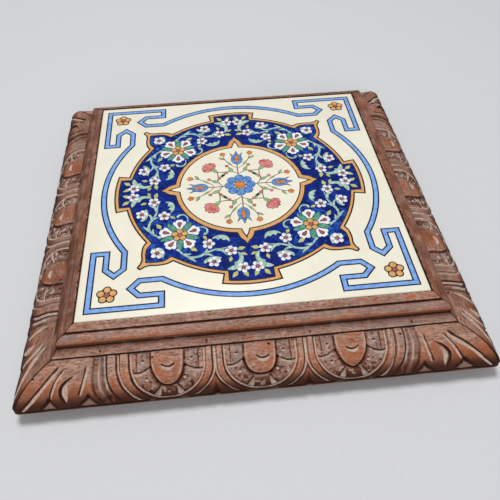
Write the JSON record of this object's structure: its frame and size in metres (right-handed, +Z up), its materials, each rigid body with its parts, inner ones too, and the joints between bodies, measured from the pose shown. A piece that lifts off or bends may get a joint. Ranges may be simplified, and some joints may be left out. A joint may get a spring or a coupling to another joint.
{
  "type": "trivet",
  "caption": "Square table trivet: a glazed decorative tile set in a stepped moulding on a mitred frame of carved wooden rails, raised on low turned feet.",
  "frame": {"origin": "on the table under the middle of the tile", "axes": "+Z up from the table, -Y toward the front rail, +X toward the right rail"},
  "size_m": [0.272, 0.272, 0.0386],
  "materials": {
    "tile_glaze": "gloss",
    "mastic": "matte",
    "board_wood": "matte",
    "moulding_wood": "waxed satin",
    "carved_wood": "waxed satin, worn",
    "spline_wood": "matte",
    "block_wood": "matte",
    "panel_wood": "matte",
    "foot_wood": "satin",
    "screw_brass": "dull",
    "brad_steel": "dull"
  },
  "bodies": {
    "root": {"tile": "tile_glaze", "tile_bed": "mastic", "tile_board": "board_wood", "cap_front": "moulding_wood", "cap_right": "moulding_wood", "cap_back": "moulding_wood", "cap_left": "moulding_wood", "rail_front": "carved_wood", "rail_right": "carved_wood", "rail_back": "carved_wood", "rail_left": "carved_wood", "mitre_spline_front_left": "spline_wood", "mitre_spline_front_right": "spline_wood", "mitre_spline_back_right": "spline_wood", "mitre_spline_back_left": "spline_wood", "corner_block_front_left": "block_wood", "corner_block_front_right": "block_wood", "corner_block_back_right": "block_wood", "corner_block_back_left": "block_wood", "base_panel": "panel_wood", "foot_front_left": "foot_wood", "foot_front_right": "foot_wood", "foot_back_right": "foot_wood", "foot_back_left": "foot_wood", "base_screws": "screw_brass", "cap_brads": "brad_steel"}
  },
  "joints": []
}
